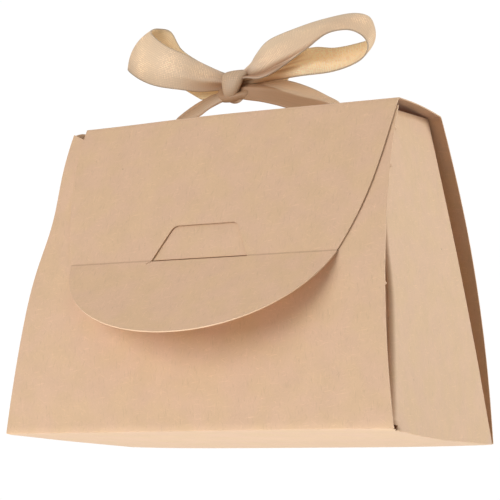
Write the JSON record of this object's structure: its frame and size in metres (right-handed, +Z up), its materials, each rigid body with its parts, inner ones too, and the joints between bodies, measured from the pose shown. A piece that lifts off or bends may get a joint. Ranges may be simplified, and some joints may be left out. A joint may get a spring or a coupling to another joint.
{
  "type": "favor box",
  "caption": "Purse-shaped kraft card favor box with a hinged lid, a rounded flap that locks with a tongue in a slit, and a satin ribbon bow.",
  "frame": {"origin": "middle of the base, on the face that the box stands on", "axes": "+Z up, +X to the right and +Y to the back as seen from the flap side"},
  "size_m": [0.12, 0.0862, 0.1236],
  "materials": {
    "kraft_card": "matt brown kraft card with fine fibres",
    "satin_ribbon": "woven tan satin ribbon with a soft sheen"
  },
  "bodies": {
    "box": {"base_panel": "kraft_card", "front_panel": "kraft_card", "back_panel": "kraft_card", "left_side_panel": "kraft_card", "right_side_panel": "kraft_card", "left_front_tab": "kraft_card", "left_back_tab": "kraft_card", "right_front_tab": "kraft_card", "right_back_tab": "kraft_card"},
    "lid": {"lid_panel": "kraft_card", "ribbon_under_lid": "satin_ribbon", "ribbon_left_strand": "satin_ribbon", "ribbon_right_strand": "satin_ribbon", "bow_knot": "satin_ribbon", "bow_left_loop": "satin_ribbon", "bow_right_loop": "satin_ribbon", "bow_left_tail": "satin_ribbon", "bow_right_tail": "satin_ribbon"},
    "flap": {"flap_panel": "kraft_card"},
    "flap_tip": {"tip_panel": "kraft_card", "lock_tongue": "kraft_card"}
  },
  "joints": [
    {"name": "lid_fold", "type": "hinge", "parent": "box", "child": "lid", "pos_m": [0, 0.015, 0.092], "axis": [-1, 0, 0], "range_deg": [0, 150]},
    {"name": "flap_fold", "type": "hinge", "parent": "lid", "child": "flap", "pos_m": [0, -0.015, 0.092], "axis": [-1, 0, 0], "range_deg": [0, 160]},
    {"name": "tip_fold", "type": "hinge", "parent": "flap", "child": "flap_tip", "pos_m": [0, -0.03046, 0.04801], "axis": [-1, 0, 0], "range_deg": [0, 62]}
  ]
}
